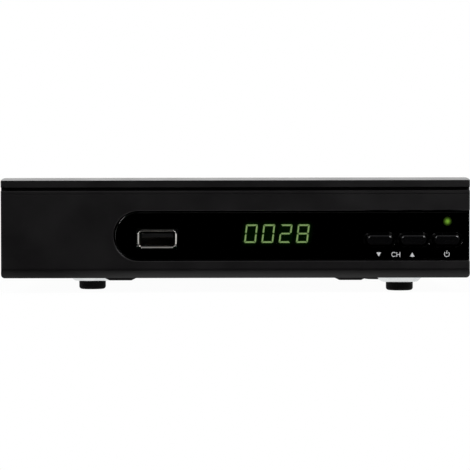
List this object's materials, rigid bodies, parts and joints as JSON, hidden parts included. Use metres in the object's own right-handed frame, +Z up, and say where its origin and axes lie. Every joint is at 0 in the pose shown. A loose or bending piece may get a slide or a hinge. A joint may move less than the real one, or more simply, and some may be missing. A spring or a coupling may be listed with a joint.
{
  "type": "satellite receiver",
  "caption": "Compact satellite TV set-top receiver with a gloss window, LED display, push buttons, front USB socket and rear sockets on a steel case.",
  "frame": {"origin": "middle of the overall box at the table, below the middle of the part", "axes": "+X to the right seen from the front, +Y from the front panel to the rear wall, +Z up"},
  "size_m": [0.168, 0.1214, 0.041],
  "materials": {
    "satin_black_abs": "satin black moulded ABS",
    "smoked_acrylic": "polished smoked acrylic",
    "mark_ink": "light grey printed ink",
    "gloss_black_abs": "polished black ABS",
    "switch_plastic": "matt black thermoplastic",
    "led_lens": "green clear epoxy, lit",
    "ir_epoxy": "dark infrared epoxy",
    "display_black": "matt black display case",
    "display_green": "green segments, lit",
    "circuit_board": "green solder mask on glass laminate",
    "zinc_screw": "zinc-plated steel",
    "black_screw": "black-coated steel",
    "nickel_plate": "bright nickel plating",
    "black_nylon": "matt black glass-filled nylon",
    "gold_plate": "gold-plated contact",
    "white_nylon": "natural white nylon",
    "cable_jacket": "black PVC jacket",
    "ribbon_grey": "grey PVC ribbon",
    "galvanised_steel": "bright galvanised sheet",
    "black_painted_steel": "fine-textured black paint",
    "foot_rubber": "black rubber",
    "chip_epoxy": "black moulding epoxy",
    "black_aluminium": "black anodised aluminium",
    "capacitor_sleeve": "dark blue shrink sleeve",
    "ferrite": "dark grey ferrite",
    "tinplate": "tinned steel can",
    "orange_nylon": "orange moulded nylon"
  },
  "bodies": {
    "receiver": {"base_chassis": "galvanised_steel", "capacitor_1": "capacitor_sleeve", "capacitor_2": "capacitor_sleeve", "ch_down_switch": "switch_plastic", "ch_up_switch": "switch_plastic", "cover_screws": "black_screw", "dc_inlet": "black_nylon", "dc_pin": "nickel_plate", "display_module": "display_black", "display_segments": "display_green", "f_connector": "nickel_plate", "f_insulator": "white_nylon", "f_nut": "nickel_plate", "foot_front_left": "foot_rubber", "foot_front_right": "foot_rubber", "foot_rear_left": "foot_rubber", "foot_rear_right": "foot_rubber", "front_bezel": "satin_black_abs", "front_board": "circuit_board", "front_board_screws": "zinc_screw", "hdmi_contacts": "gold_plate", "hdmi_shell": "nickel_plate", "hdmi_tongue": "black_nylon", "heatsink": "black_aluminium", "inductor": "ferrite", "ir_receiver": "ir_epoxy", "lan_contacts": "gold_plate", "lan_insert": "black_nylon", "lan_shield": "tinplate", "main_board": "circuit_board", "main_board_screws": "zinc_screw", "main_chip": "chip_epoxy", "memory_chip_1": "chip_epoxy", "memory_chip_2": "chip_epoxy", "power_switch": "switch_plastic", "printed_marks": "mark_ink", "rca_barrel": "nickel_plate", "rca_housing": "orange_nylon", "rca_insulator": "white_nylon", "ribbon_cable": "ribbon_grey", "ribbon_headers": "white_nylon", "scart_contacts": "nickel_plate", "scart_housing": "black_nylon", "status_led": "led_lens", "top_cover": "black_painted_steel", "tuner_can": "tinplate", "usb_board": "circuit_board", "usb_board_screws": "zinc_screw", "usb_cable": "cable_jacket", "usb_contacts": "gold_plate", "usb_headers": "white_nylon", "usb_insulator": "black_nylon", "usb_shell": "nickel_plate", "window_lens": "smoked_acrylic"},
    "ch_down_key": {"ch_down_button": "gloss_black_abs", "ch_down_plunger": "switch_plastic"},
    "ch_up_key": {"ch_up_button": "gloss_black_abs", "ch_up_plunger": "switch_plastic"},
    "power_key": {"power_button": "gloss_black_abs", "power_plunger": "switch_plastic"}
  },
  "joints": [
    {"name": "ch_down_press", "type": "slide", "parent": "receiver", "child": "ch_down_key", "axis": [0, 1, 0], "range_m": [0, 0.0004], "stiffness_N_per_m": 3000},
    {"name": "ch_up_press", "type": "slide", "parent": "receiver", "child": "ch_up_key", "axis": [0, 1, 0], "range_m": [0, 0.0004], "stiffness_N_per_m": 3000},
    {"name": "power_press", "type": "slide", "parent": "receiver", "child": "power_key", "axis": [0, 1, 0], "range_m": [0, 0.0004], "stiffness_N_per_m": 3000}
  ]
}
